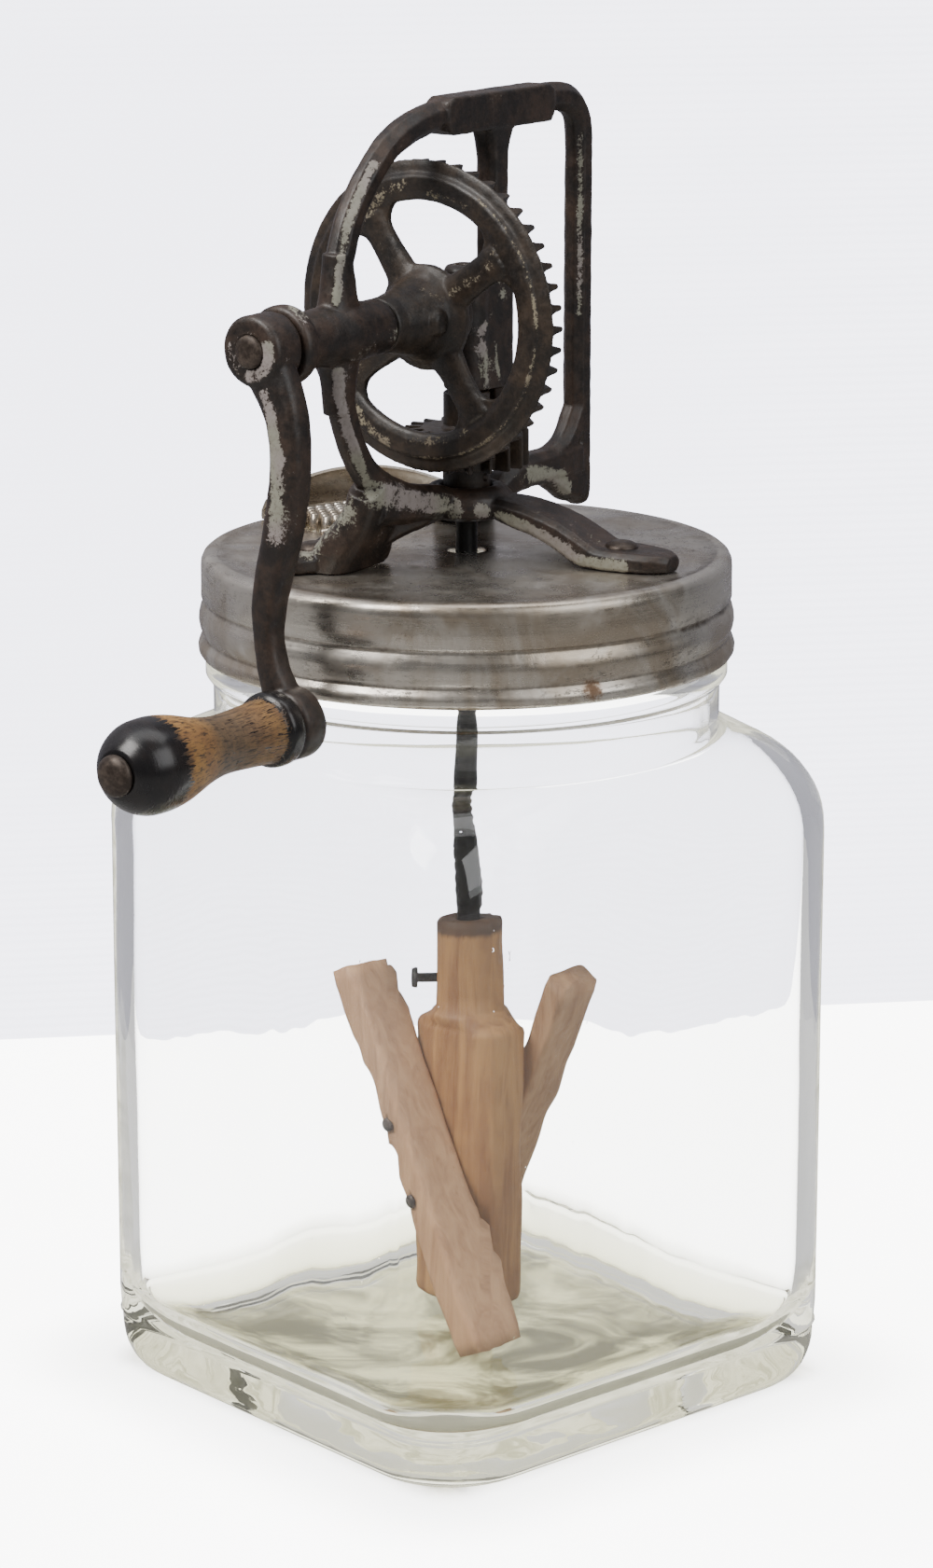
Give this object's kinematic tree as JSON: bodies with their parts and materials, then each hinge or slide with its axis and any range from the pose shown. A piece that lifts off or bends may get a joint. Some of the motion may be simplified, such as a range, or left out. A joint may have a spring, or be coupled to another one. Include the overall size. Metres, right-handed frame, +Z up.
{
  "type": "butter churn",
  "caption": "Hand cranked butter churn: square glass jar, tin screw lid with strainer, cast iron gear frame, right angle gears, wooden dasher and handle.",
  "frame": {"origin": "centre of the jar's flat base, on the vertical axis of the dasher rod", "axes": "+Z up along the dasher rod; the crank shaft points along -Y; +X is to the right of someone who faces the crank"},
  "size_m": [0.153, 0.2183, 0.3236],
  "materials": {
    "jar_glass": "clear glass, slightly green in the thick base",
    "lid_tin": "dull worn tinplate",
    "frame_iron": "dark cast iron with worn pale paint",
    "gear_iron": "dark cast iron",
    "pin_steel": "browned steel",
    "rod_steel": "blackened steel",
    "grip_wood": "turned wood with worn black paint",
    "dasher_hub_wood": "turned amber wood",
    "dasher_blade_wood": "plain pinkish wood"
  },
  "bodies": {
    "jar": {"jar": "jar_glass"},
    "lid": {"lid_shell": "lid_tin", "vent_strainer": "lid_tin", "vent_hood": "lid_tin", "gear_frame": "frame_iron", "foot_rivet_front": "pin_steel", "foot_rivet_side": "pin_steel", "foot_rivet_rear": "pin_steel"},
    "crank": {"crank_shaft": "pin_steel", "shaft_collar": "frame_iron", "crank_arm": "frame_iron", "drive_wheel": "gear_iron", "wheel_pin": "pin_steel", "handle_spindle": "pin_steel"},
    "grip": {"handle_grip": "grip_wood"},
    "dasher": {"dasher_rod": "rod_steel", "pinion": "gear_iron", "pinion_pin": "pin_steel", "thrust_washer": "pin_steel", "dasher_hub": "dasher_hub_wood", "set_screw": "pin_steel", "blade_front": "dasher_blade_wood", "blade_back": "dasher_blade_wood", "blade_nail_front_1": "pin_steel", "blade_nail_front_2": "pin_steel", "blade_nail_back_1": "pin_steel", "blade_nail_back_2": "pin_steel"}
  },
  "joints": [
    {"name": "lid_lift", "type": "slide", "parent": "jar", "child": "lid", "axis": [0, 0, 1], "range_m": [0, 0.21]},
    {"name": "crank_spin", "type": "hinge", "parent": "lid", "child": "crank", "pos_m": [0, 0, 0.2715], "axis": [0, -1, 0], "continuous": true},
    {"name": "grip_spin", "type": "hinge", "parent": "crank", "child": "grip", "pos_m": [0.0076, -0.11, 0.1845], "axis": [0, -1, 0], "continuous": true},
    {"name": "dasher_spin", "type": "hinge", "parent": "lid", "child": "dasher", "pos_m": [0, 0, 0.2715], "axis": [0, 0, 1], "continuous": true}
  ],
  "couplings": [
    {"joint": "dasher_spin", "follows": "crank_spin", "ratio": 2.5556}
  ]
}
